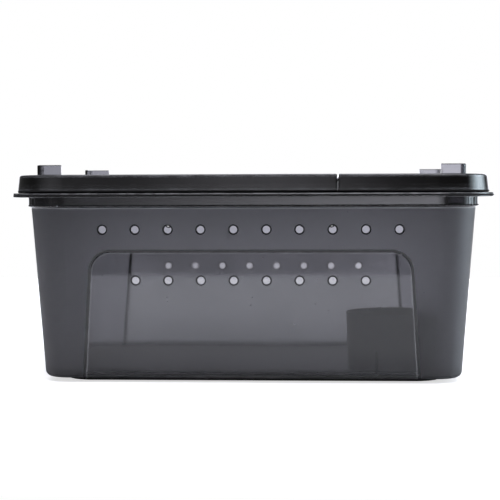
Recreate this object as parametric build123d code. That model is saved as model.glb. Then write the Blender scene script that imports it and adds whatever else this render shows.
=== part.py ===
from build123d import *
import os
from math import cos, hypot, radians, sin, sqrt, tan

# Reptile terrarium box: a drafted tub, a lift-off lid frame, two hinged leaves and a corner cup.
# Millimetres. The origin is on the ground under the middle of the box, X runs along the long side,
# -Y is the front, and +Z is up. The front and the back wall both have a clear window.

os.makedirs("parts", exist_ok=True)

# Tub body
base_length = 278.5
base_width = 178.5
base_corner = 18.0
base_fillet = 4.0
body_height = 112.8
draft_angle = 4.485
wall = 2.0
floor_thickness = 2.2
inner_fillet = 4.5
foot_height = 2.8
foot_inset = 13.5
foot_wall = 2.2

# Collar and flange at the tub's mouth
collar_step = 1.95
collar_height = 6.9
collar_round = 1.6
shelf_thickness = 2.0
flange_width = 9.95
flange_thickness = 1.4
flange_round = 0.45

# Vent holes, the same in the front and the back wall
vent_diameter = 4.9
vent_flare_diameter = 7.2
vent_flare_depth = 1.2
vent_pitch = 21.5
vent_top_count = 10
vent_low_count = 8
vent_top_drop = 14.2
vent_row_spacing = 33.4

# Clear windows, the same in the front and the back wall
window_drop = 27.3
window_top_width = 211.2
window_flare = 3.83
window_corner = 14.0
window_depth = 0.7
window_bevel = 1.6

# Lid frame
frame_thickness = 1.4
plug_clearance = 0.3
plug_wall = 1.6
plug_end_x = 23.7
plug_end_y = 23.7
hatch_margin = 2.8
hatch_corner = 12.0
coaming_wall = 1.6
coaming_height = 6.3
bar_width = 26.0
web_thickness = 2.0
tongue_width = 36.0
tongue_thickness = 1.6
tongue_height = 4.3
tongue_clearance = 0.4

# Leaves
leaf_ledge = 2.9
leaf_height = 11.9
leaf_draft = 6.5
leaf_wall = 2.2
leaf_top_thickness = 2.0
leaf_top_round = 1.5
leaf_foot_round = 1.0
leaf_rest_gap = 0.1
small_leaf_length = 100.1
seam_gap = 0.9
seam_round = 0.9
relief_height = 0.9
large_relief_run = 110.0
small_relief_run = 60.0
thumb_width = 26.0
thumb_height = 2.5

# Hinges: a bar moulded on the leaf turns in open hooks moulded on the frame
hinge_inset = 2.0
hinge_drop = 1.8
hinge_bar_radius = 0.9
hinge_running_clearance = 0.05
hook_wall = 0.75
hook_width = 10.0
hook_side_clearance = 0.3
hook_count = 4
hook_spacing = 50.0
hook_mouth = 1.5
swing_clearance = 0.3

# Stacking lugs on the leaves
lug_offset_x = 0.3
lug_offset_y = 8.7
lug_arm = 16.4
lug_wall = 1.9
lug_height = 6.45
lug_corner = 4.0
lug_round = 0.7

# Corner cup and its locating rib
cup_top_radius = 31.0
cup_base_radius = 29.6
cup_height = 40.0
cup_wall = 1.6
cup_floor = 1.8
cup_fillet = 2.0
cup_rim_round = 0.7
cup_side_gap = 12.15
rib_thickness = 1.6
rib_height = 16.0
rib_low_reach = 3.6
rib_high_reach = 2.0
rib_spread = 11.5
rib_clearance = 0.4

# Levels
body_bottom = foot_height
floor_top = body_bottom + floor_thickness
shoulder = body_bottom + body_height
shelf_top = shoulder + shelf_thickness
flange_bottom = shoulder + collar_height
flange_top = flange_bottom + flange_thickness
frame_top = flange_top + frame_thickness
leaf_bottom = frame_top + leaf_rest_gap
leaf_top = leaf_bottom + leaf_height
leaf_underside = leaf_top - leaf_top_thickness

# Outlines that follow from the driving sizes
body_lean = body_height * tan(radians(draft_angle))
collar_length = base_length + 2 * (body_lean + collar_step)
collar_width = base_width + 2 * (body_lean + collar_step)
collar_corner = base_corner + body_lean + collar_step
rim_length = collar_length + 2 * flange_width
rim_width = collar_width + 2 * flange_width
rim_corner = collar_corner + flange_width
leaf_length = rim_length - 2 * leaf_ledge
leaf_width = rim_width - 2 * leaf_ledge
leaf_corner = rim_corner - leaf_ledge
hatch_inset = wall + plug_clearance + plug_wall + hatch_margin
hatch_half_length = collar_length / 2 - hatch_inset
hatch_width = collar_width - 2 * hatch_inset
seam_x = leaf_length / 2 - small_leaf_length
bar_low_x = seam_x - bar_width / 2
bar_high_x = seam_x + bar_width / 2

# Hinge lines: side -1 is the large leaf's, side +1 is the small leaf's
hinge_z = leaf_top - hinge_drop
hinge_offset = seam_gap / 2 + hinge_inset
hook_hole_radius = hinge_bar_radius + hinge_running_clearance
hook_radius = hook_hole_radius + hook_wall
hook_positions = [(i - (hook_count - 1) / 2) * hook_spacing for i in range(hook_count)]
swing_radius = hypot(hinge_inset - seam_round, hinge_drop - seam_round) + seam_round
web_top = hinge_z - swing_radius - swing_clearance

# The cup stands against its rib in the front right corner
inner_half_length = base_length / 2 - wall
inner_half_width = base_width / 2 - wall
cup_x = inner_half_length - cup_side_gap - cup_top_radius
cup_y = rib_low_reach + rib_clearance - inner_half_width + sqrt(cup_top_radius**2 - rib_spread**2)


def lean(height):
    """How far the drafted wall has moved outwards at this height above the body's underside."""
    return height * tan(radians(draft_angle))


def rounded_block(length, width, corner, bottom, height, flare=0.0):
    """Block with a rounded rectangular plan, whose sides lean outwards by flare degrees."""
    outline = Pos(0, 0, bottom) * RectangleRounded(length, width, corner)
    return extrude(outline, amount=height, taper=-flare)


def box_between(low, high):
    """Box between two opposite corners."""
    size = [b - a for a, b in zip(low, high)]
    middle = [(a + b) / 2 for a, b in zip(low, high)]
    return Pos(*middle) * Box(*size)


def round_end(block, which, radius):
    """Round the outline of a block's lowest (0) or highest (-1) face."""
    return fillet(block.faces().sort_by(Axis.Z)[which].edges(), radius)


def wall_plane(side):
    """Plane on the outside of the front (-1) or the back (+1) wall, with its Y axis up the wall."""
    slant = radians(draft_angle)
    return Plane(origin=(0, side * base_width / 2, body_bottom), x_dir=(-side, 0, 0),
                 z_dir=(0, side * cos(slant), -sin(slant)))


def up_wall(height):
    """Distance up the leaning wall to a point this high above the body's underside."""
    return height / cos(radians(draft_angle))


def vent_row(count, height):
    """Row of holes through both walls, each flared towards the outside."""
    radius = vent_diameter / 2
    far_radius = vent_flare_diameter - radius
    tool = None
    for i in range(count):
        x = (i - (count - 1) / 2) * vent_pitch
        hole = Pos(x, 0, height) * Rot(90, 0, 0) * Cylinder(radius, rim_width)
        for side in (-1, 1):
            place = wall_plane(side) * Pos(x, up_wall(height - body_bottom), 0)
            hole = hole + place * Cone(radius, far_radius, 2 * vent_flare_depth)
        tool = hole if tool is None else tool + hole
    return tool


def window_outline(grow):
    """Outline of a window in the wall's plane, wider towards the base, grown by the given amount."""
    top = up_wall(body_height - window_drop) + grow
    low = -base_fillet
    half_top = window_top_width / 2 + grow
    half_low = half_top + (top - low) * tan(radians(window_flare))
    corners = [(-half_low, low), (half_low, low), (half_top, top), (-half_top, top)]
    face = make_face(Polyline(*corners, close=True))
    upper = face.vertices().sort_by(Axis.Y)[-2:]
    return fillet(upper, window_corner + grow)


def window_recess(side):
    """Shallow pocket with bevelled sides in the front or the back wall, where the wall is clear."""
    surface = window_outline(0)
    bottom = Pos(0, 0, -window_depth) * window_outline(-window_bevel)
    pocket = loft([bottom, surface], ruled=True) + extrude(surface, amount=base_fillet)
    return wall_plane(side) * pocket


def locating_rib(outer):
    """Wedge rib on the inner front wall that keeps the cup in its corner."""
    wall_y = -base_width / 2 - lean(floor_thickness + rib_height)
    low_y = rib_low_reach - inner_half_width
    high_y = rib_high_reach - inner_half_width
    low_z = body_bottom
    high_z = floor_top + rib_height
    outline = Polyline((wall_y, low_z), (low_y, low_z), (low_y, floor_top),
                       (high_y, high_z), (wall_y, high_z), close=True)
    profile = make_face(Plane.YZ * outline)
    rib = extrude(profile, amount=rib_thickness / 2, both=True)
    return (Pos(cup_x - rib_spread, 0, 0) * rib) & outer


def foot_ring():
    """Low ring under the floor that the box stands on."""
    length = base_length - 2 * foot_inset
    width = base_width - 2 * foot_inset
    ring = rounded_block(length, width, base_corner, 0, foot_height + floor_thickness / 2)
    inside = rounded_block(length - 2 * foot_wall, width - 2 * foot_wall, base_corner - foot_wall,
                           0, foot_height)
    return ring - inside


def tub():
    """Drafted tub with collar, flange, vents, window recesses, foot ring and cup rib."""
    outer = rounded_block(base_length, base_width, base_corner, body_bottom, body_height, draft_angle)
    outer = round_end(outer, 0, base_fillet)
    spread = 2 * (lean(floor_thickness) - wall)
    cavity = rounded_block(base_length + spread, base_width + spread, base_corner + spread / 2,
                           floor_top, shoulder - floor_top, draft_angle)
    cavity = round_end(cavity, 0, inner_fillet)
    collar = rounded_block(collar_length, collar_width, collar_corner, shoulder, collar_height)
    collar = round_end(collar, 0, collar_round)
    flange = rounded_block(rim_length, rim_width, rim_corner, flange_bottom, flange_thickness)
    flange = round_end(flange, 0, flange_round)
    mouth = rounded_block(collar_length - 2 * wall, collar_width - 2 * wall, collar_corner - wall,
                          shelf_top, flange_top - shelf_top)
    throat = 2 * (body_lean - wall)
    step = rounded_block(base_length + throat, base_width + throat, base_corner + throat / 2,
                         shoulder, shelf_thickness)
    shell = outer + collar + flange - cavity - mouth - step
    shell = shell + foot_ring() + locating_rib(outer)
    top_row = shoulder - vent_top_drop
    shell = shell - vent_row(vent_top_count, top_row)
    shell = shell - vent_row(vent_low_count, top_row - vent_row_spacing)
    return shell - window_recess(-1) - window_recess(1)


def hatch(low_x, high_x, grow, bottom, height):
    """Block in the shape of one hatch opening, grown outwards by the given amount."""
    block = rounded_block(high_x - low_x + 2 * grow, hatch_width + 2 * grow, hatch_corner + grow,
                          bottom, height)
    return Pos((low_x + high_x) / 2, 0, 0) * block


def plug():
    """Skirt that drops into the tub's collar, open at the four corners."""
    drop = 2 * (wall + plug_clearance)
    bottom = shelf_top + plug_clearance
    height = flange_top - bottom
    ring = rounded_block(collar_length - drop, collar_width - drop, collar_corner - drop / 2,
                         bottom, height)
    ring = ring - rounded_block(collar_length - drop - 2 * plug_wall,
                                collar_width - drop - 2 * plug_wall,
                                collar_corner - drop / 2 - plug_wall, bottom, height)
    half_x = collar_length / 2 - plug_end_x
    half_y = collar_width / 2 - plug_end_y
    across = box_between((-half_x, -rim_width, bottom), (half_x, rim_width, flange_top))
    along = box_between((-rim_length, -half_y, bottom), (rim_length, half_y, flange_top))
    return ring & (across + along)


def hinge_hooks(side):
    """Posts on the cross bar, each with a hook that is open at the top, for one leaf's bar."""
    axis_x = seam_x + side * hinge_offset
    post_x = axis_x - side * hook_hole_radius
    web_x = seam_x
    hooks = None
    for y in hook_positions:
        low = (min(post_x, web_x), y - hook_width / 2, flange_top)
        high = (max(post_x, web_x), y + hook_width / 2, hinge_z - hook_hole_radius)
        ring = Pos(axis_x, y, hinge_z) * Rot(90, 0, 0) * Cylinder(hook_radius, hook_width)
        hook = ring + box_between(low, high)
        hook = hook - Pos(axis_x, y, hinge_z) * Rot(90, 0, 0) * Cylinder(hook_hole_radius, rim_width)
        hook = hook - box_between((axis_x - hook_mouth / 2, y - hook_width, hinge_z),
                                  (axis_x + hook_mouth / 2, y + hook_width, leaf_top))
        hooks = hook if hooks is None else hooks + hook
    return hooks


def catch_tongue(side):
    """Low tongue that stands just inside a leaf's end wall and keeps it pressed shut."""
    lean_in = (leaf_rest_gap + tongue_height) * tan(radians(leaf_draft))
    outer_x = leaf_length / 2 - leaf_wall - lean_in - tongue_clearance
    inner_x = outer_x - tongue_thickness
    low_x = min(side * inner_x, side * outer_x)
    high_x = max(side * inner_x, side * outer_x)
    return box_between((low_x, -tongue_width / 2, flange_top),
                       (high_x, tongue_width / 2, frame_top + tongue_height))


def bar_sill(side):
    """Low wall across one end of the cross bar, which joins the two coamings."""
    inner_y = side * hatch_width / 2
    outer_y = side * (hatch_width / 2 + coaming_wall)
    return box_between((bar_low_x - hatch_corner, min(inner_y, outer_y), flange_top),
                       (bar_high_x + hatch_corner, max(inner_y, outer_y), frame_top + coaming_height))


def lid_frame():
    """Rim plate with two hatches, their joined coamings, the plug, the cross bar and the hinge hooks."""
    frame = rounded_block(rim_length, rim_width, rim_corner, flange_top, frame_thickness)
    frame = round_end(frame, -1, flange_round)
    frame = frame + plug()
    hatches = [(-hatch_half_length, bar_low_x), (bar_high_x, hatch_half_length)]
    for low_x, high_x in hatches:
        frame = frame + hatch(low_x, high_x, coaming_wall, flange_top, frame_thickness + coaming_height)
    for low_x, high_x in hatches:
        frame = frame - hatch(low_x, high_x, 0, 0, leaf_top)
    inner_half = leaf_width / 2 - leaf_wall - leaf_height * tan(radians(leaf_draft)) - swing_clearance
    frame = frame + box_between((seam_x - web_thickness / 2, -inner_half, flange_top),
                                (seam_x + web_thickness / 2, inner_half, web_top))
    for side in (-1, 1):
        frame = frame + hinge_hooks(side) + catch_tongue(side) + bar_sill(side)
    return frame


def leaf_block():
    """Outside of the two leaves together, before the seam parts them."""
    block = rounded_block(leaf_length, leaf_width, leaf_corner, leaf_bottom, leaf_height, -leaf_draft)
    block = round_end(block, -1, leaf_top_round)
    return round_end(block, 0, leaf_foot_round)


def lug(side_x, side_y):
    """L-shaped stop with rounded corner that steadies the base of a box stacked on top."""
    outer_x = base_length / 2 + lug_offset_x
    outer_y = base_width / 2 + lug_offset_y
    root = leaf_underside + leaf_top_thickness / 2
    tall = leaf_top + lug_height - root
    outer = rounded_block(2 * outer_x, 2 * outer_y, lug_corner, root, tall)
    outer = round_end(outer, -1, lug_round)
    inner = rounded_block(2 * (outer_x - lug_wall), 2 * (outer_y - lug_wall), lug_corner - lug_wall,
                          root, tall)
    low = (outer_x - lug_arm, outer_y - lug_arm, root)
    high = (outer_x + lug_wall, outer_y + lug_wall, root + tall)
    piece = (outer - inner) & box_between(low, high)
    if side_x < 0:
        piece = mirror(piece, about=Plane.YZ)
    if side_y < 0:
        piece = mirror(piece, about=Plane.XZ)
    return piece


def seam_relief(side, run):
    """Thin wedge taken off the skirt's foot, so that its corner clears the frame as the leaf swings."""
    near_x = seam_x
    far_x = seam_x + side * run
    low_z = leaf_bottom - relief_height
    outline = Polyline((far_x, leaf_bottom), (near_x, leaf_bottom + relief_height),
                       (near_x, low_z), (far_x, low_z), close=True)
    return extrude(make_face(Plane.XZ * outline), amount=rim_width / 2, both=True)


def leaf(side, run):
    """One hinged leaf: side -1 is the large one on the left, side +1 the small one on the right."""
    edge_x = seam_x + side * seam_gap / 2
    far_x = side * rim_length
    keep = box_between((min(edge_x, far_x), -rim_width, 0), (max(edge_x, far_x), rim_width, 2 * leaf_top))
    shell = leaf_block() & keep
    seam_face = shell.faces().sort_by(Axis.X)[-1 if side < 0 else 0]
    rounded = [e for e in seam_face.edges() if e.center().Z > leaf_bottom + leaf_foot_round]
    shell = fillet(rounded, seam_round)

    hollow_height = leaf_height - leaf_top_thickness
    hollow = rounded_block(leaf_length - 2 * leaf_wall, leaf_width - 2 * leaf_wall,
                           leaf_corner - leaf_wall, leaf_bottom, hollow_height, -leaf_draft)
    shell = shell - hollow - seam_relief(side, run)

    axis_x = seam_x + side * hinge_offset
    barrel_half = leaf_width / 2 - leaf_wall - leaf_height * tan(radians(leaf_draft))
    spindle = Pos(axis_x, 0, hinge_z) * Rot(90, 0, 0)
    shell = shell + spindle * Cylinder(hook_radius, 2 * barrel_half)
    notch_x = axis_x + side * (hook_radius + hook_side_clearance)
    notch_half = hook_width / 2 + hook_side_clearance
    for y in hook_positions:
        shell = shell - box_between((min(notch_x, seam_x), y - notch_half, leaf_bottom),
                                    (max(notch_x, seam_x), y + notch_half, 2 * leaf_top))
    shell = shell + spindle * Cylinder(hinge_bar_radius, 2 * barrel_half)

    thumb_radius = (thumb_width**2 / 4 + thumb_height**2) / (2 * thumb_height)
    thumb = Pos(side * leaf_length / 2, 0, leaf_bottom + thumb_height - thumb_radius)
    shell = shell - thumb * Rot(0, 90, 0) * Cylinder(thumb_radius, 4 * leaf_wall)
    for side_y in (-1, 1):
        shell = shell + lug(side, side_y)
    return shell


def corner_cup():
    """Round cup with a slight taper that stands in the front right corner."""
    top_z = floor_top + cup_height
    slope = (cup_top_radius - cup_base_radius) / cup_height
    well_z = floor_top + cup_floor
    well_radius = cup_base_radius - cup_wall + slope * cup_floor
    outer = make_face(Plane.XZ * Polyline((0, floor_top), (cup_base_radius, floor_top),
                                          (cup_top_radius, top_z), (0, top_z), close=True))
    well = make_face(Plane.XZ * Polyline((0, well_z), (well_radius, well_z),
                                         (cup_top_radius - cup_wall, top_z), (0, top_z), close=True))
    body = round_end(revolve(outer, Axis.Z), 0, cup_fillet)
    bowl = round_end(revolve(well, Axis.Z), 0, cup_fillet)
    cup = body - bowl
    rim = cup.faces().sort_by(Axis.Z)[-1].edges()
    return Pos(cup_x, cup_y, 0) * fillet(rim, cup_rim_round)


export_step(tub(), "parts/tub.step")
export_step(lid_frame(), "parts/lid_frame.step")
export_step(leaf(-1, large_relief_run), "parts/large_leaf.step")
export_step(leaf(1, small_relief_run), "parts/small_leaf.step")
export_step(corner_cup(), "parts/corner_cup.step")
print(f"rim {rim_length:.2f} x {rim_width:.2f}, top {leaf_top + lug_height:.2f}, seam {seam_x:.2f}, "
      f"hinge z {hinge_z:.2f}, cup {cup_x:.2f} {cup_y:.2f}, web top {web_top:.2f}")
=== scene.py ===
"""Looks of a reptile terrarium box: smoky polystyrene mouldings in a white room.

The meshes are those of the CAD frame. Finishes change over an object by zones, which are found
from its object coordinates in millimetres.
"""

import logging
from dataclasses import dataclass
from enum import Enum
from math import pi, radians, sin, tan
from typing import Any

import bmesh
import bpy
from mathutils import Matrix, Vector

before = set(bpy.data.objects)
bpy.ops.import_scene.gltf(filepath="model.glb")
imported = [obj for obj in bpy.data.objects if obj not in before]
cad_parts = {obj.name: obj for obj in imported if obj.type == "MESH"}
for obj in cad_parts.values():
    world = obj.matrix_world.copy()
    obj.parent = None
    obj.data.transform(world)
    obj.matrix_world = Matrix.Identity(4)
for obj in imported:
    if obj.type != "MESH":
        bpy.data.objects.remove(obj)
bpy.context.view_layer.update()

LOG = logging.getLogger("terrarium_box")
MM = 0.001
WHITE = "#ffffff"

# Height in millimetres that no point of the box reaches
ABOVE_ALL = 1000.0

# Inputs and output of Blender's Mix node for colours
COLOUR_A, COLOUR_B, COLOUR_OUT = 6, 7, 2

Socket = bpy.types.NodeSocket
Tree = bpy.types.NodeTree


class Node(Enum):
    """CAD nodes of the box."""

    TUB = "tub"
    FRAME = "lid_frame"
    LARGE_LEAF = "large_leaf"
    SMALL_LEAF = "small_leaf"
    CUP = "corner_cup"


def linear(hex_colour: str) -> tuple[float, float, float, float]:
    """Turn an sRGB hex colour into linear light by the standard's curve.

    Args:
        hex_colour: Six hex digits, with or without a leading hash.

    Returns:
        Red, green, blue and a full alpha.
    """
    digits = hex_colour.lstrip("#")
    values = [int(digits[i:i + 2], 16) / 255 for i in (0, 2, 4)]
    red, green, blue = (
        v / 12.92 if v <= 0.04045 else ((v + 0.055) / 1.055) ** 2.4 for v in values)
    return red, green, blue, 1.0


def add_node(
    tree: Tree, kind: str, inputs: dict[Any, Any] | None = None, **settings: Any,
) -> bpy.types.Node:
    """Add one shader node with its settings and links.

    Args:
        tree: Node tree that gets the node.
        kind: Blender's type name of the node, without the leading ShaderNode.
        inputs: Socket name or index to a plain value or to the output socket that feeds it.
        settings: Attributes to set on the node itself.

    Returns:
        The new node.
    """
    node = tree.nodes.new(f"ShaderNode{kind}")
    for name, value in settings.items():
        setattr(node, name, value)
    for key, value in (inputs or {}).items():
        if isinstance(value, Socket):
            tree.links.new(value, node.inputs[key])
        else:
            node.inputs[key].default_value = value
    return node


@dataclass(frozen=True)
class Plan:
    """Rounded rectangular outline of a moulding, seen from above, in millimetres.

    Attributes:
        half_length: Half of its length.
        half_width: Half of its width.
        corner: Radius of its corners.
        lean: Degrees by which it grows with height.
        height: Height at which the sizes hold.
    """

    half_length: float
    half_width: float
    corner: float
    lean: float = 0.0
    height: float = 0.0

    def depth(self, tree: Tree, place: Socket) -> Socket:
        """Find how deep a point near the outline lies inside it.

        Args:
            tree: Node tree that gets the nodes.
            place: Point on the object, in millimetres.

        Returns:
            Depth in millimetres, less than 0 outside.
        """
        centre = (self.half_length - self.corner, self.half_width - self.corner, ABOVE_ALL)
        folded = add_node(tree, "VectorMath", {0: place}, operation="ABSOLUTE").outputs[0]
        past = add_node(tree, "VectorMath", {0: folded, 1: centre},
                        operation="SUBTRACT").outputs[0]
        over = add_node(tree, "VectorMath", {0: past, 1: (0.0, 0.0, 0.0)},
                        operation="MAXIMUM").outputs[0]
        reach = add_node(tree, "VectorMath", {0: over}, operation="LENGTH").outputs["Value"]
        height = add_node(tree, "SeparateXYZ", {0: place}).outputs[2]
        slope = tan(radians(self.lean))
        edge = add_node(tree, "Math", {0: height, 1: slope, 2: self.corner - slope * self.height},
                        operation="MULTIPLY_ADD").outputs[0]
        return add_node(tree, "Math", {0: edge, 1: reach}, operation="SUBTRACT").outputs[0]


@dataclass(frozen=True)
class Band:
    """Zone of a moulding between two heights, and near its outline if one is given.

    Attributes:
        low: Lower height in millimetres.
        high: Upper height in millimetres.
        plan: Outline that the zone follows, or None for the whole height band.
        skin: Depth inside that outline to which the zone reaches, in millimetres.
    """

    low: float
    high: float
    plan: Plan | None = None
    skin: float = 0.5

    def mask(self, tree: Tree, place: Socket) -> Socket:
        """Mark the zone.

        Args:
            tree: Node tree that gets the nodes.
            place: Point on the object, in millimetres.

        Returns:
            1 inside the zone and 0 elsewhere.
        """
        height = add_node(tree, "SeparateXYZ", {0: place}).outputs[2]
        middle, half = (self.low + self.high) / 2, (self.high - self.low) / 2
        inside = add_node(tree, "Math", {0: height, 1: middle, 2: half},
                          operation="COMPARE").outputs[0]
        if self.plan is None:
            return inside
        near = add_node(tree, "Math", {0: self.plan.depth(tree, place), 1: self.skin},
                        operation="LESS_THAN").outputs[0]
        return add_node(tree, "Math", {0: inside, 1: near}, operation="MULTIPLY").outputs[0]


@dataclass(frozen=True)
class VentRims:
    """Flared rims of a row of vent holes in the front and the back wall, in millimetres.

    Attributes:
        count: Number of holes.
        height: Height of their middles.
        walls: Zone of the outer faces of the walls.
        pitch: Distance from hole to hole.
        inner: Radius at the inside of the rims.
        outer: Radius at the outside of the rims.
    """

    count: int
    height: float
    walls: Band
    pitch: float = 21.5
    inner: float = 2.4
    outer: float = 3.4

    def mask(self, tree: Tree, place: Socket) -> Socket:
        """Mark the rims.

        Args:
            tree: Node tree that gets the nodes.
            place: Point on the object, in millimetres.

        Returns:
            1 on the rims and 0 elsewhere.
        """
        half_pitch = self.pitch / 2
        parts = add_node(tree, "SeparateXYZ", {0: place}).outputs
        across = add_node(tree, "Math", {0: parts[0]}, operation="ABSOLUTE").outputs[0]
        along = add_node(tree, "Math", {0: across, 1: half_pitch},
                         operation="PINGPONG").outputs[0]
        aside = add_node(tree, "CombineXYZ", {0: along, 1: parts[2]}).outputs[0]
        reach = add_node(tree, "VectorMath", {0: aside, 1: (half_pitch, self.height, 0.0)},
                         operation="DISTANCE").outputs["Value"]
        middle, half = (self.inner + self.outer) / 2, (self.outer - self.inner) / 2
        ring = add_node(tree, "Math", {0: reach, 1: middle, 2: half},
                        operation="COMPARE").outputs[0]
        in_row = add_node(tree, "Math", {0: across, 1: self.count * half_pitch},
                          operation="LESS_THAN").outputs[0]
        ring = add_node(tree, "Math", {0: ring, 1: in_row}, operation="MULTIPLY").outputs[0]
        return add_node(tree, "Math", {0: ring, 1: self.walls.mask(tree, place)},
                        operation="MULTIPLY").outputs[0]


@dataclass(frozen=True)
class Stops:
    """Pair of upright stops in the collar near its corners, whose edges are painted on the collar
    as dark lines of shade.

    Attributes:
        collar: Zone of the collar.
        middle: Place midway between the two stops, in millimetres.
        reach: Distance of each stop from there.
        half: Half of its width.
    """

    collar: Band
    middle: float = -1.6
    reach: float = 128.7
    half: float = 0.8

    def mask(self, tree: Tree, place: Socket) -> Socket:
        """Mark the stops.

        Args:
            tree: Node tree that gets the nodes.
            place: Point on the object, in millimetres.

        Returns:
            1 on the stops and 0 elsewhere.
        """
        parts = add_node(tree, "SeparateXYZ", {0: place}).outputs
        aside = add_node(tree, "Math", {0: parts[0], 1: self.middle},
                         operation="SUBTRACT").outputs[0]
        across = add_node(tree, "Math", {0: aside}, operation="ABSOLUTE").outputs[0]
        mark = add_node(tree, "Math", {0: across, 1: self.reach, 2: self.half},
                        operation="COMPARE").outputs[0]
        return add_node(tree, "Math", {0: mark, 1: self.collar.mask(tree, place)},
                        operation="MULTIPLY").outputs[0]


@dataclass(frozen=True)
class ClearWindow:
    """Polished window in the front and the back wall, in millimetres.

    Attributes:
        top: Height of its upper edge.
        half_top: Half width at the upper edge.
        flare: Growth of that half width per millimetre downwards.
        corner: Radius of the upper corners.
        wall: Distance from the middle beyond which a point belongs to a long wall.
        bevel: Width of the dark line painted just inside the outline: painted shade that stands
            for the bevel's shading.
        bevel_shade_clarity: Share of the wall's clarity that is left on that painted shade line.
        glint: Width of the painted highlight inside the dark line.
        glint_paleness: How pale the painted highlight is.
    """

    top: float = 88.3
    half_top: float = 105.6
    flare: float = 0.0669
    corner: float = 14.0
    wall: float = 78.0
    bevel: float = 1.9
    bevel_shade_clarity: float = 0.03
    glint: float = 0.7
    glint_paleness: float = 0.28

    def mask(self, tree: Tree, place: Socket) -> Socket:
        """Mark both windows.

        Args:
            tree: Node tree that gets the nodes.
            place: Point on the object, in millimetres.

        Returns:
            1 inside the outline of either window and 0 elsewhere.
        """
        inside = add_node(tree, "Math", {0: self.reach(tree, place), 1: self.corner},
                          operation="LESS_THAN").outputs[0]
        return add_node(tree, "Math", {0: inside, 1: self.on_wall(tree, place)},
                        operation="MULTIPLY").outputs[0]

    def shade(self, tree: Tree, place: Socket) -> Socket:
        """Paint shade along the bevel as a dark line.

        Args:
            tree: Node tree that gets the nodes.
            place: Point on the object, in millimetres.

        Returns:
            Share of the wall's clarity that the painted shade leaves.
        """
        line = self.line(tree, place, self.bevel / 2, self.bevel)
        return add_node(tree, "MapRange", {0: line, 3: 1.0, 4: self.bevel_shade_clarity}).outputs[0]

    def shine(self, tree: Tree, place: Socket) -> Socket:
        """Paint a highlight along the inner edge of the bevel.

        Args:
            tree: Node tree that gets the nodes.
            place: Point on the object, in millimetres.

        Returns:
            How pale the painted highlight makes the surface, and 0 elsewhere.
        """
        line = self.line(tree, place, self.bevel + self.glint / 2, self.glint)
        return add_node(tree, "Math", {0: line, 1: self.glint_paleness},
                        operation="MULTIPLY").outputs[0]

    def line(self, tree: Tree, place: Socket, inwards: float, width: float) -> Socket:
        """Mark a line that follows the outline of both windows.

        Args:
            tree: Node tree that gets the nodes.
            place: Point on the object, in millimetres.
            inwards: How far inside the outline the middle of the line lies.
            width: Width of the line.

        Returns:
            1 on the line and 0 elsewhere.
        """
        near = add_node(tree, "Math", {
            0: self.reach(tree, place), 1: self.corner - inwards, 2: width / 2,
        }, operation="COMPARE").outputs[0]
        return add_node(tree, "Math", {0: near, 1: self.on_wall(tree, place)},
                        operation="MULTIPLY").outputs[0]

    def on_wall(self, tree: Tree, place: Socket) -> Socket:
        """Mark the long walls.

        Args:
            tree: Node tree that gets the nodes.
            place: Point on the object, in millimetres.

        Returns:
            1 on the front and the back wall and 0 elsewhere.
        """
        folded = add_node(tree, "VectorMath", {0: place}, operation="ABSOLUTE").outputs[0]
        outwards = add_node(tree, "SeparateXYZ", {0: folded}).outputs[1]
        return add_node(tree, "Math", {0: outwards, 1: self.wall},
                        operation="GREATER_THAN").outputs[0]

    def reach(self, tree: Tree, place: Socket) -> Socket:
        """Find how far a point lies past the centres of the upper corners.

        Args:
            tree: Node tree that gets the nodes.
            place: Point on the object, in millimetres.

        Returns:
            Distance in millimetres, which is the corners' radius on the outline.
        """
        half = self.half_top + self.top * self.flare - self.corner
        folded = add_node(tree, "VectorMath", {0: place}, operation="ABSOLUTE").outputs[0]
        parts = add_node(tree, "SeparateXYZ", {0: folded}).outputs
        spread = add_node(tree, "Math", {0: parts[2], 1: self.flare, 2: parts[0]},
                          operation="MULTIPLY_ADD").outputs[0]
        across = add_node(tree, "Math", {0: spread, 1: half}, operation="SUBTRACT").outputs[0]
        above = add_node(tree, "Math", {0: parts[2], 1: self.top - self.corner},
                         operation="SUBTRACT").outputs[0]
        past = add_node(tree, "CombineXYZ", {0: across, 1: above}).outputs[0]
        over = add_node(tree, "VectorMath", {0: past, 1: (0.0, 0.0, 0.0)},
                        operation="MAXIMUM").outputs[0]
        return add_node(tree, "VectorMath", {0: over}, operation="LENGTH").outputs["Value"]


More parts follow.
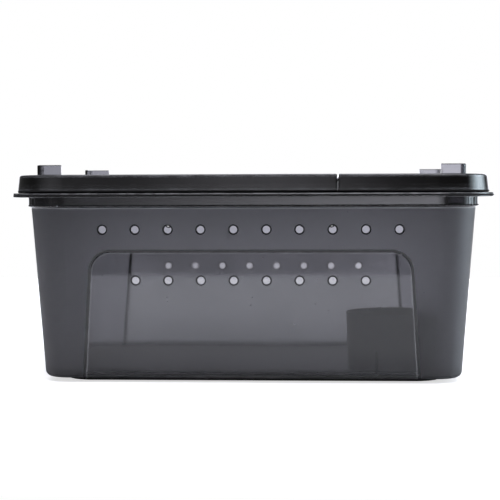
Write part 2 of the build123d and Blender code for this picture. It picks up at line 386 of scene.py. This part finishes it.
@dataclass(frozen=True)
class Grain:
    """Fine grain that a spark-eroded mould leaves on the outside of a wall.

    Attributes:
        zone: Where the outside of the wall is eroded.
        window: Polished windows inside that zone.
        clarity: Clarity of the eroded wall.
        roughness: Roughness of its grain.
        veil: How pale the grain makes the surface.
        sparkle: Size of the brighter grains, in millimetres.
        bright: Levels of the noise between which a grain turns pale.
        pit: Width of the pits, in millimetres.
        pit_depth: Depth of the pits, in millimetres.
    """

    zone: Band
    window: ClearWindow = ClearWindow()
    clarity: float = 0.78
    roughness: float = 0.5
    veil: float = 0.06
    sparkle: float = 1.2
    bright: tuple[float, float] = (0.35, 0.75)
    pit: float = 0.9
    pit_depth: float = 0.02

    def mask(self, tree: Tree, place: Socket) -> Socket:
        """Mark the eroded faces.

        Args:
            tree: Node tree that gets the nodes.
            place: Point on the object, in millimetres.

        Returns:
            1 on the eroded faces and 0 on the polished ones.
        """
        outside = self.zone.mask(tree, place)
        return add_node(tree, "Math", {0: outside, 1: self.window.mask(tree, place)},
                        operation="SUBTRACT", use_clamp=True).outputs[0]

    def shimmer(self, tree: Tree, place: Socket) -> Socket:
        """Scatter light unevenly, grain by grain.

        Args:
            tree: Node tree that gets the nodes.
            place: Point on the object, in millimetres.

        Returns:
            How pale the grain is.
        """
        # The grains are 0.3 mm wide, and are drawn 1.2 mm wide so that they show
        grains = add_node(tree, "TexNoise", {
            "Vector": place, "Scale": 1 / self.sparkle, "Detail": 2.0,
        }).outputs[0]
        return add_node(tree, "MapRange", {
            0: grains, 1: self.bright[0], 2: self.bright[1], 3: 0.0, 4: self.veil,
        }).outputs[0]

    def pits(self, tree: Tree, place: Socket, height: Socket, eroded: Socket) -> Socket:
        """Add the pits to a surface.

        Args:
            tree: Node tree that gets the nodes.
            place: Point on the object, in millimetres.
            height: Height of the surface without them, in millimetres.
            eroded: 1 where the surface has them and 0 elsewhere.

        Returns:
            Height of the surface with them.
        """
        # The pits are 0.1 mm wide, and are drawn 0.9 mm wide so that they show
        pits = add_node(tree, "TexNoise", {
            "Vector": place, "Scale": 1 / self.pit, "Detail": 3.0,
        }).outputs[0]
        depth = add_node(tree, "Math", {0: eroded, 1: self.pit_depth},
                         operation="MULTIPLY").outputs[0]
        return add_node(tree, "Math", {0: pits, 1: depth, 2: height},
                        operation="MULTIPLY_ADD").outputs[0]


@dataclass(frozen=True)
class Dust:
    """Specks of dust, at most one in each cell of the surface.

    Attributes:
        share: Share of the cells that hold a speck.
        cell: Size of a cell, in millimetres.
        smallest: Radius of the smallest speck, as a share of the cell.
        largest: Radius of the largest speck, as a share of the cell.
        paleness: How pale a speck is.
    """

    share: float
    cell: float = 7.0
    smallest: float = 0.03
    largest: float = 0.08
    paleness: float = 0.6

    def specks(self, tree: Tree, place: Socket) -> Socket:
        """Strew the specks.

        Args:
            tree: Node tree that gets the nodes.
            place: Point on the object, in millimetres.

        Returns:
            How pale the surface is with them.
        """
        cells = add_node(tree, "TexVoronoi", {"Vector": place, "Scale": 1 / self.cell})
        chance = add_node(tree, "SeparateColor", {0: cells.outputs["Color"]}).outputs
        present = add_node(tree, "Math", {0: chance[0], 1: self.share},
                           operation="LESS_THAN").outputs[0]
        # Specks are 0.1 to 0.3 mm wide, and are drawn 0.4 to 1.1 mm wide so that they show
        radius = add_node(tree, "MapRange", {
            0: chance[1], 3: self.smallest, 4: self.largest,
        }).outputs[0]
        near = add_node(tree, "Math", {0: cells.outputs["Distance"], 1: radius},
                        operation="LESS_THAN").outputs[0]
        specks = add_node(tree, "Math", {0: near, 1: present}, operation="MULTIPLY").outputs[0]
        return add_node(tree, "Math", {0: specks, 1: self.paleness},
                        operation="MULTIPLY").outputs[0]


@dataclass(frozen=True)
class PaintedHighlight:
    """Painted highlight: a pale broken line along a rounded edge.

    Attributes:
        zone: Where the edge lies.
        paleness: How pale its brightest places are.
        patch: Size of its patches, in millimetres.
        levels: Levels of the noise between which a patch goes from faintest to brightest.
        least: Strength of the faintest places, where the brightest have 1.
    """

    zone: Band
    paleness: float
    patch: float = 25 / 3
    levels: tuple[float, float] = (0.3, 0.65)
    least: float = 0.3

    def highlight_strength(self, tree: Tree, place: Socket) -> Socket:
        """Break the line up into patches.

        Args:
            tree: Node tree that gets the nodes.
            place: Point on the object, in millimetres.

        Returns:
            Strength of the painted highlight, and 0 elsewhere.
        """
        patches = add_node(tree, "TexNoise", {
            "Vector": place, "Scale": 1 / self.patch, "Detail": 6.0,
        }).outputs[0]
        broken = add_node(tree, "MapRange", {
            0: patches, 1: self.levels[0], 2: self.levels[1], 3: self.least, 4: 1.0,
        }).outputs[0]
        return add_node(tree, "Math", {0: broken, 1: self.zone.mask(tree, place)},
                        operation="MULTIPLY").outputs[0]


@dataclass(frozen=True)
class Flutes:
    """Upright flutes at the two ends of the collar, in millimetres.

    Attributes:
        collar: Zone of the collar.
        start: Distance from the middle beyond which it is fluted.
        pitch: Distance from flute to flute.
        depth: Depth of a flute to either side of the plain surface.
    """

    collar: Band
    start: float = 141.0
    pitch: float = 3.0
    depth: float = 0.12

    def ridges(self, tree: Tree, place: Socket, height: Socket) -> Socket:
        """Add the flutes to a surface.

        Args:
            tree: Node tree that gets the nodes.
            place: Point on the object, in millimetres.
            height: Height of the surface without them, in millimetres.

        Returns:
            Height of the surface with them.
        """
        folded = add_node(tree, "VectorMath", {0: place}, operation="ABSOLUTE").outputs[0]
        across = add_node(tree, "SeparateXYZ", {0: folded}).outputs[0]
        end = add_node(tree, "Math", {0: across, 1: self.start},
                       operation="GREATER_THAN").outputs[0]
        phase = add_node(tree, "Math", {0: across, 1: 2.0 * pi / self.pitch},
                         operation="MULTIPLY").outputs[0]
        wave = add_node(tree, "Math", {0: phase}, operation="SINE").outputs[0]
        ridge = add_node(tree, "Math", {0: wave, 1: end}, operation="MULTIPLY").outputs[0]
        ridge = add_node(tree, "Math", {0: ridge, 1: self.collar.mask(tree, place)},
                         operation="MULTIPLY").outputs[0]
        return add_node(tree, "Math", {0: ridge, 1: self.depth, 2: height},
                        operation="MULTIPLY_ADD").outputs[0]


@dataclass(frozen=True)
class Patch:
    """Zone of a moulding with another clarity, and another roughness if one is given.

    Attributes:
        zone: Where it lies.
        clarity: Clarity of the wall there.
        roughness: Roughness of the surface there, or None for that of its surroundings.
    """

    zone: Band
    clarity: float
    roughness: float | None = None


@dataclass(frozen=True)
class PaintedShade:
    """Zone painted black as shade: gaps and grooves between pieces, the foot under the box, hole
    rims and edges seen through the collar.

    Attributes:
        zone: Where it lies.
        roughness: Roughness of the surface there.
    """

    zone: Band | VentRims | Stops
    roughness: float


@dataclass(frozen=True)
class SmokyPolystyrene:
    """Injection-moulded polystyrene with a smoke dye: clear across a wall, black along it.

    Attributes:
        name: Name of the material.
        absorption: Absorption of the dye per metre.
        clarity: Share of the light that a face lets through besides what the dye takes.
        gloss: Roughness of the polished faces.
        grain: Grain of the spark-eroded faces, or None where all are polished.
        patch: Zone with another clarity, or None: clearer lugs, or a band painted darker as
            shade.
        flutes: Upright flutes, or None.
        painted_shades: Zones painted black as shade.
        painted_highlights: Edges with painted highlight lines.
        dust: Dust on the surface.
        dye: Colour that the dye leaves. It takes least of the blue, so thick parts turn cool.
        ior: Index of refraction of polystyrene.
        black: Clarity in the painted shade.
        pale: Colour of dust, grain and the painted highlights.
        smear: Size of the smears that handling leaves, in millimetres.
        smear_levels: Levels of the noise between which a smear sets in.
        smear_roughness: Roughness that the smears add.
        cloud: Size of the clouds that the melt leaves in the dye, in millimetres.
        cloud_levels: Levels of the noise between which a cloud sets in.
        unevenness: Share by which the clouds change the clarity.
        flow: Length of the waves that the melt leaves in the surface, in millimetres.
        flow_depth: Depth of those waves, in millimetres.
    """

    name: str
    absorption: float
    clarity: float
    gloss: float
    grain: Grain | None = None
    patch: Patch | None = None
    flutes: Flutes | None = None
    painted_shades: tuple[PaintedShade, ...] = ()
    painted_highlights: tuple[PaintedHighlight, ...] = ()
    dust: Dust = Dust(0.2)
    dye: str = "#00004a"
    ior: float = 1.59
    black: float = 0.004
    pale: str = "#c4c6cc"
    smear: float = 25.0
    smear_levels: tuple[float, float] = (0.45, 0.75)
    smear_roughness: float = 0.04
    cloud: float = 50.0
    cloud_levels: tuple[float, float] = (0.3, 0.7)
    unevenness: float = 0.04
    flow: float = 45.0
    flow_depth: float = 0.03

    def build(self) -> bpy.types.Material:
        """Make the material.

        Returns:
            The material, with its surface and its dye.
        """
        material = bpy.data.materials.new(self.name)
        material.use_nodes = True
        tree = material.node_tree
        tree.nodes.clear()
        metres = add_node(tree, "TexCoord").outputs["Object"]
        place = add_node(tree, "VectorMath", {0: metres, "Scale": 1 / MM},
                         operation="SCALE").outputs[0]
        eroded = self.grain.mask(tree, place) if self.grain else None
        pale = self.paleness(tree, place, eroded)
        # Painted shade: where it lies, the surface is black and lets no light through
        black = self.painted_shade_mask(tree, place)
        clear = add_node(tree, "Math", {0: 1.0, 1: pale}, operation="SUBTRACT").outputs[0]
        clear = add_node(tree, "Math", {0: clear, 1: black}, operation="SUBTRACT",
                         use_clamp=True).outputs[0]
        body = add_node(tree, "BsdfPrincipled", {
            "Base Color": self.colour(tree, place, eroded, pale, black),
            "Roughness": self.roughness(tree, place, eroded), "Transmission Weight": clear,
            "Normal": self.relief(tree, place, eroded), "IOR": self.ior,
        })
        smoke = add_node(tree, "VolumeAbsorption", {
            "Color": linear(self.dye), "Density": self.absorption,
        })
        add_node(tree, "OutputMaterial", {
            "Surface": body.outputs[0], "Volume": smoke.outputs[0],
        })
        return material

    def painted_shade_mask(self, tree: Tree, place: Socket) -> Socket:
        """Mark where shade is painted.

        Args:
            tree: Node tree that gets the nodes.
            place: Point on the object, in millimetres.

        Returns:
            1 where shade is painted black and 0 elsewhere.
        """
        black = add_node(tree, "Value").outputs[0]
        for shaded_zone in self.painted_shades:
            black = add_node(tree, "Math", {0: black, 1: shaded_zone.zone.mask(tree, place)},
                             operation="MAXIMUM").outputs[0]
        return black

    def paleness(self, tree: Tree, place: Socket, eroded: Socket | None) -> Socket:
        """Add up dust, grain, the bevel's painted glint and the painted highlights.

        Args:
            tree: Node tree that gets the nodes.
            place: Point on the object, in millimetres.
            eroded: 1 on the eroded faces and 0 elsewhere, or None where all are polished.

        Returns:
            How pale the surface is.
        """
        pale = self.dust.specks(tree, place)
        if self.grain:
            shimmer = self.grain.shimmer(tree, place)
            pale = add_node(tree, "Math", {0: eroded, 1: shimmer, 2: pale},
                            operation="MULTIPLY_ADD").outputs[0]
            # Painted highlight along the inner edge of the windows' bevel
            shine = self.grain.window.shine(tree, place)
            pale = add_node(tree, "Math", {0: shine, 1: pale}, operation="ADD").outputs[0]
        # Painted highlights: pale broken lines along rounded edges
        for highlight_line in self.painted_highlights:
            highlight_strength = highlight_line.highlight_strength(tree, place)
            pale = add_node(tree, "Math", {0: highlight_strength, 1: highlight_line.paleness, 2: pale},
                            operation="MULTIPLY_ADD", use_clamp=True).outputs[0]
        return pale

    def colour(
        self, tree: Tree, place: Socket, eroded: Socket | None, pale: Socket, black: Socket,
    ) -> Socket:
        """Turn the clarity into a grey, uneven as a moulding is, under what makes it pale.

        Args:
            tree: Node tree that gets the nodes.
            place: Point on the object, in millimetres.
            eroded: 1 on the eroded faces and 0 elsewhere, or None where all are polished.
            pale: How pale the surface is.
            black: 1 where shade is painted black and 0 elsewhere.

        Returns:
            Colour of the surface.
        """
        value = add_node(tree, "Value").outputs[0]
        value.default_value = self.clarity
        if self.grain:
            value = add_node(tree, "Mix", {0: eroded, 2: value, 3: self.grain.clarity}).outputs[0]
        if self.patch:
            value = add_node(tree, "Mix", {
                0: self.patch.zone.mask(tree, place), 2: value, 3: self.patch.clarity,
            }).outputs[0]
        # Painted shade: a dark line along the windows' bevel
        if self.grain:
            shade = self.grain.window.shade(tree, place)
            value = add_node(tree, "Math", {0: value, 1: shade}, operation="MULTIPLY").outputs[0]
        # Painted shade turns the colour black
        value = add_node(tree, "Mix", {0: black, 2: value, 3: self.black}).outputs[0]
        clouds = add_node(tree, "TexNoise", {
            "Vector": place, "Scale": 1 / self.cloud, "Detail": 3.0,
        }).outputs[0]
        uneven = add_node(tree, "MapRange", {
            0: clouds, 1: self.cloud_levels[0], 2: self.cloud_levels[1],
            3: 1.0 - self.unevenness, 4: 1.0 + self.unevenness,
        }).outputs[0]
        value = add_node(tree, "Math", {0: value, 1: uneven}, operation="MULTIPLY",
                         use_clamp=True).outputs[0]
        grey = add_node(tree, "CombineColor", {0: value, 1: value, 2: value}).outputs[0]
        return add_node(tree, "Mix", {
            0: pale, COLOUR_A: grey, COLOUR_B: linear(self.pale),
        }, data_type="RGBA").outputs[COLOUR_OUT]

    def roughness(self, tree: Tree, place: Socket, eroded: Socket | None) -> Socket:
        """Blend the polished, the eroded and the painted shade's roughness, with faint smears.

        Args:
            tree: Node tree that gets the nodes.
            place: Point on the object, in millimetres.
            eroded: 1 on the eroded faces and 0 elsewhere, or None where all are polished.

        Returns:
            Roughness of the surface.
        """
        smears = add_node(tree, "TexNoise", {
            "Vector": place, "Scale": 1 / self.smear, "Detail": 4.0,
        }).outputs[0]
        value = add_node(tree, "MapRange", {
            0: smears, 1: self.smear_levels[0], 2: self.smear_levels[1],
            3: self.gloss, 4: self.gloss + self.smear_roughness,
        }).outputs[0]
        if self.grain:
            value = add_node(tree, "Mix", {
                0: eroded, 2: value, 3: self.grain.roughness,
            }).outputs[0]
        zones: tuple[Patch | PaintedShade, ...] = self.painted_shades
        if self.patch and self.patch.roughness is not None:
            zones = (self.patch, *zones)
        for zone in zones:
            value = add_node(tree, "Mix", {
                0: zone.zone.mask(tree, place), 2: value, 3: zone.roughness,
            }).outputs[0]
        return value

    def relief(self, tree: Tree, place: Socket, eroded: Socket | None) -> Socket:
        """Shape the surface with flow waves, the grain's pits and flutes.

        Args:
            tree: Node tree that gets the nodes.
            place: Point on the object, in millimetres.
            eroded: 1 on the eroded faces and 0 elsewhere, or None where all are polished.

        Returns:
            Normal of the surface.
        """
        waves = add_node(tree, "TexNoise", {
            "Vector": place, "Scale": 1 / self.flow, "Detail": 1.0,
        }).outputs[0]
        height = add_node(tree, "Math", {0: waves, 1: self.flow_depth},
                          operation="MULTIPLY").outputs[0]
        if self.grain:
            height = self.grain.pits(tree, place, height, eroded)
        if self.flutes:
            height = self.flutes.ridges(tree, place, height)
        return add_node(tree, "Bump", {
            "Height": height, "Strength": 1.0, "Distance": MM,
        }).outputs[0]


@dataclass(frozen=True)
class WhitePaint:
    """Matt white wall paint, rolled on: it shows no highlight, only the box's soft shadow.

    Attributes:
        name: Name of the material.
        colour: Colour of the paint.
        roughness: Roughness of the rolled surface.
    """

    name: str = "white painted floor"
    colour: str = "#f2f2f6"
    roughness: float = 0.9


@dataclass(frozen=True)
class Glow:
    """Soft bright patch of the room, or a dark one where its strength is negative.

    Attributes:
        azimuth: Degrees from the front towards the right.
        elevation: Degrees above the horizon.
        width: Half of its width in degrees.
        height: Half of its height in degrees.
        strength: Light that it adds at its middle.
        colour: Colour of that light.
        fade: Share of its radius over which it fades out.
    """

    azimuth: float
    elevation: float
    width: float
    height: float
    strength: float
    colour: str = "#f6f6ff"
    fade: float = 1.0

    def light(self, tree: Tree, direction: Socket) -> Socket:
        """Find the light of the patch in a direction.

        Args:
            tree: Node tree that gets the nodes.
            direction: Direction that is looked in.

        Returns:
            Strength of the patch there.
        """
        turned = add_node(tree, "Mapping", {
            "Vector": direction,
            "Rotation": (radians(-self.elevation), 0.0, radians(self.azimuth)),
            "Scale": (sin(radians(self.width)), 1.0, sin(radians(self.height))),
        }, vector_type="TEXTURE")
        parts = add_node(tree, "SeparateXYZ", {0: turned.outputs[0]}).outputs
        across = add_node(tree, "CombineXYZ", {0: parts[0], 1: parts[2]}).outputs[0]
        radius = add_node(tree, "VectorMath", {0: across}, operation="LENGTH").outputs["Value"]
        level = add_node(tree, "MapRange", {
            0: radius, 1: 1.0, 2: 1.0 - self.fade, 3: 0.0, 4: self.strength,
        }, interpolation_type="SMOOTHSTEP").outputs[0]
        ahead = add_node(tree, "Math", {0: parts[1], 1: 0.0}, operation="LESS_THAN").outputs[0]
        return add_node(tree, "Math", {0: level, 1: ahead}, operation="MULTIPLY").outputs[0]


@dataclass
class Studio:
    """White room: pale floor, light from above, a soft box at the right and a dark left side.

    Attributes:
        half_floor: Half of the floor's length, in metres.
        floor_front: Where the floor ends in front of the box, in metres.
        floor_back: Where it ends behind the box, in metres.
        box: Outline of the box on the floor.
        paint: Paint of the floor.
        lift: Brightness that the floor near the box gains in reflections and through plastic.
        lift_back: Brightness that the floor far behind the box gains there.
        lift_seen: Brightness that the whole floor gains for the camera, to look white.
        lift_ramp: Distances behind the middle between which lift grows to lift_back, in mm.
        dark_left: Places to the left at which the lift is gone and is whole, in mm.
        contact_shadow: Depths in the box's outline at which the lift is gone and is whole, in mm:
            a painted shadow on the floor near the box.
        room: Light that comes from everywhere.
        glows: Brighter and darker patches of the room.
    """

    half_floor: float = 6.0
    floor_front: float = -0.42
    floor_back: float = 1.01
    box: Plan = Plan(139.25, 89.25, 18.0)
    paint: WhitePaint = WhitePaint()
    lift: float = 0.3
    lift_back: float = 1.3
    lift_seen: float = 0.65
    lift_ramp: tuple[float, float] = (100.0, 500.0)
    dark_left: tuple[float, float] = (-650.0, -350.0)
    contact_shadow: tuple[float, float] = (-5.0, -80.0)
    room: float = 0.1
    glows: tuple[Glow, ...] = (
        # In front: a faint lamp over the camera, a wide one at the left, a bright strip below
        Glow(-2.5, 14.0, 7.0, 10.0, 0.7),
        Glow(-35.0, 16.0, 50.0, 25.0, 0.55),
        Glow(6.0, -1.0, 22.0, 7.0, 2.6),
        # Overhead
        Glow(31.0, 74.0, 60.0, 60.0, 3.6),
        # Soft box at the right, which lights the right ends of the lid and the collar
        Glow(105.0, 13.0, 35.0, 27.0, 8.3, "#e4f4ff"),
        # White wall behind, which shines through the box, with a darker strip low down
        Glow(177.0, 6.0, 40.0, 35.0, 3.2),
        Glow(182.8, -2.0, 7.0, 1.75, -0.65, fade=0.3),
        # High up behind, at the left
        Glow(215.0, 42.0, 60.0, 25.0, 0.5),
    )

    def build(self) -> None:
        """Make the floor and the sky."""
        self.floor()
        self.sky()

    def floor(self) -> None:
        """Lay the floor, which keeps the box's shadow and ends in front of it and behind it."""
        mesh = bpy.data.meshes.new("studio_floor")
        shape = bmesh.new()
        shape.faces.new([shape.verts.new((x, y, 0.0)) for x, y in (
            (-self.half_floor, self.floor_front), (self.half_floor, self.floor_front),
            (self.half_floor, self.floor_back), (-self.half_floor, self.floor_back),
        )])
        shape.to_mesh(mesh)
        shape.free()
        floor = bpy.data.objects.new("studio_floor", mesh)
        bpy.context.scene.collection.objects.link(floor)
        mesh.materials.append(self.floor_material())

    def floor_material(self) -> bpy.types.Material:
        """Paint the floor, brighter for the camera, in reflections and through plastic.

        Returns:
            The floor's material.
        """
        material = bpy.data.materials.new(self.paint.name)
        material.use_nodes = True
        tree = material.node_tree
        tree.nodes.clear()
        metres = add_node(tree, "TexCoord").outputs["Object"]
        place = add_node(tree, "VectorMath", {0: metres, "Scale": 1 / MM},
                         operation="SCALE").outputs[0]
        parts = add_node(tree, "SeparateXYZ", {0: place}).outputs
        level = add_node(tree, "MapRange", {
            0: parts[1], 1: self.lift_ramp[0], 2: self.lift_ramp[1],
            3: self.lift, 4: self.lift_back,
        }).outputs[0]
        # The left of the room is dark, so that the left edge of the box is dark too
        lit = add_node(tree, "MapRange", {
            0: parts[0], 1: self.dark_left[0], 2: self.dark_left[1],
        }).outputs[0]
        level = add_node(tree, "Math", {0: level, 1: lit}, operation="MULTIPLY").outputs[0]
        # Painted shadow: near the box the floor loses its lift in reflections and through plastic
        out_of_shadow = add_node(tree, "MapRange", {
            0: self.box.depth(tree, place), 1: self.contact_shadow[0], 2: self.contact_shadow[1],
        }).outputs[0]
        level = add_node(tree, "Math", {0: level, 1: out_of_shadow}, operation="MULTIPLY").outputs[0]
        path = add_node(tree, "LightPath").outputs
        through = add_node(tree, "Math", {
            0: path["Is Glossy Ray"], 1: path["Is Transmission Ray"],
        }, operation="MAXIMUM").outputs[0]
        lift = add_node(tree, "Math", {0: through, 1: level}, operation="MULTIPLY").outputs[0]
        lift = add_node(tree, "Math", {0: path["Is Camera Ray"], 1: self.lift_seen, 2: lift},
                        operation="MULTIPLY_ADD").outputs[0]
        paint = add_node(tree, "BsdfPrincipled", {
            "Base Color": linear(self.paint.colour), "Roughness": self.paint.roughness,
            "Emission Color": linear(WHITE), "Emission Strength": lift,
        })
        add_node(tree, "OutputMaterial", {"Surface": paint.outputs[0]})
        return material

    def sky(self) -> None:
        """Fill the room with soft light; seen directly it is white."""
        world = bpy.data.worlds.new("white room")
        bpy.context.scene.world = world
        world.use_nodes = True
        tree = world.node_tree
        direction = add_node(tree, "TexCoord").outputs["Generated"]
        total = add_node(tree, "CombineXYZ", {i: self.room for i in range(3)}).outputs[0]
        for glow in self.glows:
            total = add_node(tree, "VectorMath", {
                0: linear(glow.colour)[:3], 1: glow.light(tree, direction), 2: total,
            }, operation="MULTIPLY_ADD").outputs[0]
        path = add_node(tree, "LightPath").outputs
        total = add_node(tree, "Mix", {
            0: path["Is Camera Ray"], COLOUR_A: total, COLOUR_B: linear(WHITE),
        }, data_type="RGBA").outputs[COLOUR_OUT]
        tree.links.new(total, tree.nodes["Background"].inputs[0])


@dataclass
class Camera:
    """Camera that stands where the photograph was taken, solved from the box's own edges.

    Attributes:
        lens_mm: Focal length.
        sensor_mm: Width of the sensor.
        nearest: Distance in metres from which things are seen.
        place_mm: Where it stands.
        yaw: Degrees by which it is turned to the left.
        pitch: Degrees by which it looks up.
        roll: Degrees by which it is tilted about its own axis.
    """

    lens_mm: float = 96.07
    sensor_mm: float = 36.0
    nearest: float = 0.01
    place_mm: tuple[float, float, float] = (48.0, -961.6, 123.7)
    yaw: float = 3.17
    pitch: float = -2.352
    roll: float = -0.169

    def build(self) -> None:
        """Make the camera and give it to the scene."""
        data = bpy.data.cameras.new("camera")
        data.lens = self.lens_mm
        data.sensor_width = self.sensor_mm
        data.clip_start = self.nearest
        camera = bpy.data.objects.new("camera", data)
        turn = Matrix.Rotation(radians(self.yaw), 4, "Z")
        turn = turn @ Matrix.Rotation(radians(90 + self.pitch), 4, "X")
        turn = turn @ Matrix.Rotation(radians(self.roll), 4, "Z")
        camera.matrix_world = Matrix.Translation(Vector(self.place_mm) * MM) @ turn
        bpy.context.scene.collection.objects.link(camera)
        bpy.context.scene.camera = camera


@dataclass
class Tub:
    """Tub with its matte body, polished windows and collar, and a foot ring painted black as
    shade.

    Attributes:
        body: Outline of the body at its foot.
        rim: Outline of the flange at the mouth.
        shoulder: Height in millimetres at which the body ends and the shelf begins.
        skin: Depth in millimetres to which the outer faces count as eroded.
        ring: Ring that the tub stands on, painted black as the shade under the box.
        step: Unpolished step above that ring, painted darker as shade.
        shelf: Corner between the shelf and the collar, painted black as shade.
        collar: Polished collar under the flange.
        upper_vents: Number and height of the upper row of vents.
        lower_vents: Number and height of the lower row.
        vent_walls: Lower end and depth in millimetres of the walls' outer faces around them.
    """

    body: Plan = Plan(139.25, 89.25, 18.0, 4.485, 2.8)
    rim: Plan = Plan(160.0, 110.0, 38.8)
    shoulder: float = 115.5
    skin: float = 0.3
    ring: Band = Band(-1.0, 2.75)
    step: Band = Band(2.8, 5.1)
    shelf: Band = Band(116.7, 117.5)
    collar: Band = Band(117.6, 122.3)
    upper_vents: tuple[int, float] = (10, 101.4)
    lower_vents: tuple[int, float] = (8, 68.0)
    vent_walls: tuple[float, float] = (60.0, 1.3)

    def dress(self) -> None:
        """Give the tub its material."""
        low, depth = self.vent_walls
        walls = Band(low, self.shoulder, self.body, depth)
        under_frame = Band(123.2, 123.95, self.rim, 3.0)
        flange_edge = Band(122.3, 122.8, self.rim, 0.5)
        body_edge = Band(114.9, 115.6, self.body, 0.8)
        # The eroded outside looks soft and grey and blurs what is behind it, while the
        # polished windows and collar look like dark glass and show the inside
        dress(Node.TUB, SmokyPolystyrene(
            "smoky polystyrene, spark-eroded outside, polished windows",
            absorption=570.0, clarity=0.5, gloss=0.045,
            grain=Grain(Band(self.ring.low, self.shoulder, self.body, self.skin)),
            # The step above the ring is painted darker as shade
            patch=Patch(self.step, clarity=0.4, roughness=0.4),
            flutes=Flutes(self.collar),
            # Painted shade, in black: the foot ring, the groove at the shelf, the gap under the
            # frame, the vent rims and the stops' edges
            painted_shades=(
                PaintedShade(self.ring, 0.4),
                PaintedShade(self.shelf, 1.0),
                PaintedShade(under_frame, 1.0),
                PaintedShade(VentRims(*self.upper_vents, walls), 0.5),
                PaintedShade(VentRims(*self.lower_vents, walls), 0.5),
                PaintedShade(Stops(self.collar), 0.3),
            ),
            # Painted highlights: broken pale lines along the flange's edge and the body's top
            # edge
            painted_highlights=(PaintedHighlight(flange_edge, 0.15), PaintedHighlight(body_edge, 0.5)),
            dust=Dust(0.35),
        ))


@dataclass
class LidFrame:
    """Rim plate of the lid.

    Attributes:
        rim: Outline of the plate.
        under_leaves: Gap between the plate and the leaves, painted black as shade.
    """

    rim: Plan = Plan(160.0, 110.0, 38.8)
    under_leaves: Band = Band(125.08, 126.8)

    def dress(self) -> None:
        """Give the frame its material."""
        over_tub = Band(123.85, 124.3, self.rim, 3.0)
        plate_edge = Band(124.5, 125.05, self.rim, 0.6)
        # A polished mould gives dark glass; the pale line along the plate's edge is a painted
        # highlight, and the gaps above and below the plate are painted black as shade
        dress(Node.FRAME, SmokyPolystyrene(
            "smoky polystyrene, polished, highlighted edge",
            absorption=570.0, clarity=0.4, gloss=0.04,
            painted_shades=(PaintedShade(self.under_leaves, 1.0), PaintedShade(over_tub, 1.0)),
            painted_highlights=(PaintedHighlight(plate_edge, 0.5),),
            dust=Dust(0.1),
        ))


@dataclass
class Leaves:
    """The two lid leaves, with their stacking lugs.

    Attributes:
        lugs: Lugs, above the round at their foot.
        lip: Lowest part of the leaves' walls, by the plate, painted black as the gap's shade.
        shade: Part of the walls above the lip, painted black as the gap's shade.
        lip_edge: Outer edge of the lip, with a painted highlight.
        wall_foot: Foot of the walls above it, with a faint painted highlight.
        top_edge: Round at the top of the walls, with a painted highlight.
    """

    lugs: Band = Band(137.5, 146.3)
    lip: Band = Band(125.3, 126.1)
    shade: Band = Band(126.1, 126.9)
    lip_edge: Band = Band(127.0, 128.2)
    wall_foot: Band = Band(128.2, 131.0)
    top_edge: Band = Band(135.4, 137.2)

    def dress(self) -> None:
        """Give both leaves their material."""
        # More dye under a polish looks like a black mirror, and the thin lugs let light through
        dark = SmokyPolystyrene(
            "dark smoky polystyrene, polished, clearer lugs",
            absorption=620.0, clarity=0.08, gloss=0.05,
            patch=Patch(self.lugs, clarity=0.42),
            # The gap under the walls is painted black as shade
            painted_shades=(PaintedShade(self.lip, 0.1), PaintedShade(self.shade, 1.0)),
            # Pale lines along the edges are painted highlights
            painted_highlights=(
                PaintedHighlight(self.lip_edge, 0.35),
                PaintedHighlight(self.wall_foot, 0.1),
                PaintedHighlight(self.top_edge, 0.35),
            ),
            dust=Dust(0.03),
        )
        dress(Node.LARGE_LEAF, dark)
        dress(Node.SMALL_LEAF, dark)


@dataclass
class Cup:
    """Round cup in the corner.

    Attributes:
        satin: Roughness of its faces.
    """

    satin: float = 0.3

    def dress(self) -> None:
        """Give the cup its material."""
        # So much dye that nothing shows through, under a fine satin that blurs reflections
        dress(Node.CUP, SmokyPolystyrene(
            "black polystyrene, satin", absorption=2500.0, clarity=0.05, gloss=self.satin))


def dress(node: Node, finish: SmokyPolystyrene) -> None:
    """Give a CAD node its material.

    Args:
        node: The node.
        finish: Its finish.
    """
    material = bpy.data.materials.get(finish.name) or finish.build()
    thing = bpy.data.objects[node.value]
    thing.data.materials.clear()
    thing.data.materials.append(material)
    LOG.info("dressed %s in %s", node.value, material.name)


def main() -> None:
    """Build the room, the camera and the finishes in order."""
    logging.basicConfig(level=logging.INFO, format="%(name)s: %(message)s")
    bpy.context.scene.view_settings.view_transform = "Standard"
    for part in (Camera(), Studio()):
        part.build()
        LOG.info("built %s", type(part).__name__)
    for part in (Tub(), LidFrame(), Leaves(), Cup()):
        part.dress()


if __name__ == "__main__":
    main()
